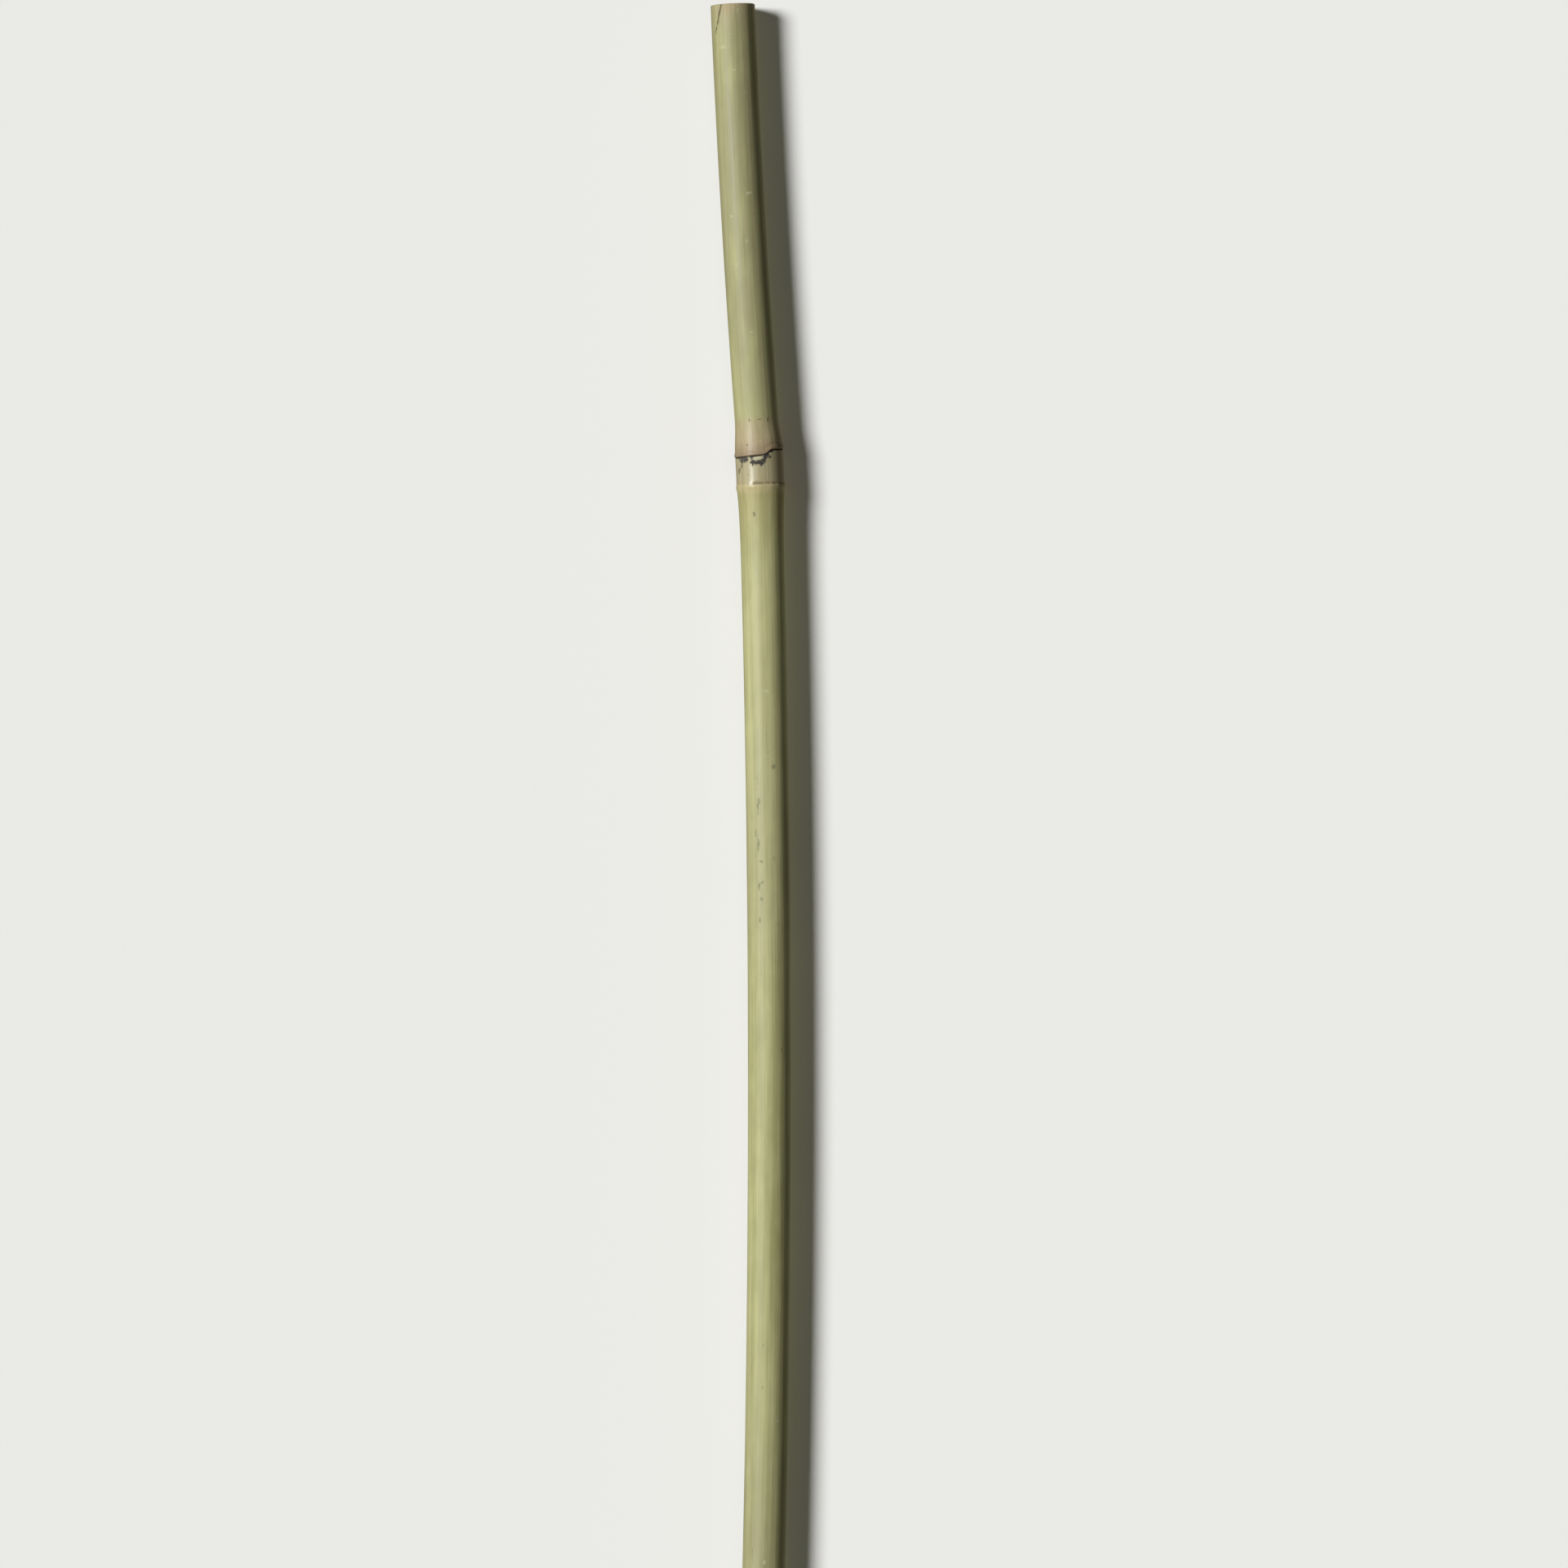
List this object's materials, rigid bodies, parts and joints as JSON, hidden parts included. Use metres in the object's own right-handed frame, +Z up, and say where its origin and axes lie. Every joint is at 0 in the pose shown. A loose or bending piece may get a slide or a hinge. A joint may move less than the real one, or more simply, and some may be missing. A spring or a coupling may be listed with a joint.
{
  "type": "bamboo cane",
  "caption": "Bamboo garden cane laid on the ground: a slightly bowed, tapering culm with swollen joints, slanted sheath scars, pruned bud stubs and sawn hollow ends.",
  "frame": {"origin": "on the ground, under the middle of the lying cane's bounding box", "axes": "+Y along the cane towards its butt, the end nearer the root; +X across it, the way it bows; +Z up"},
  "size_m": [0.0396, 0.8996, 0.0135],
  "materials": {
    "bamboo": "waxy green bamboo skin, half gloss"
  },
  "bodies": {
    "root": {"bamboo_cane": "bamboo"}
  },
  "joints": []
}
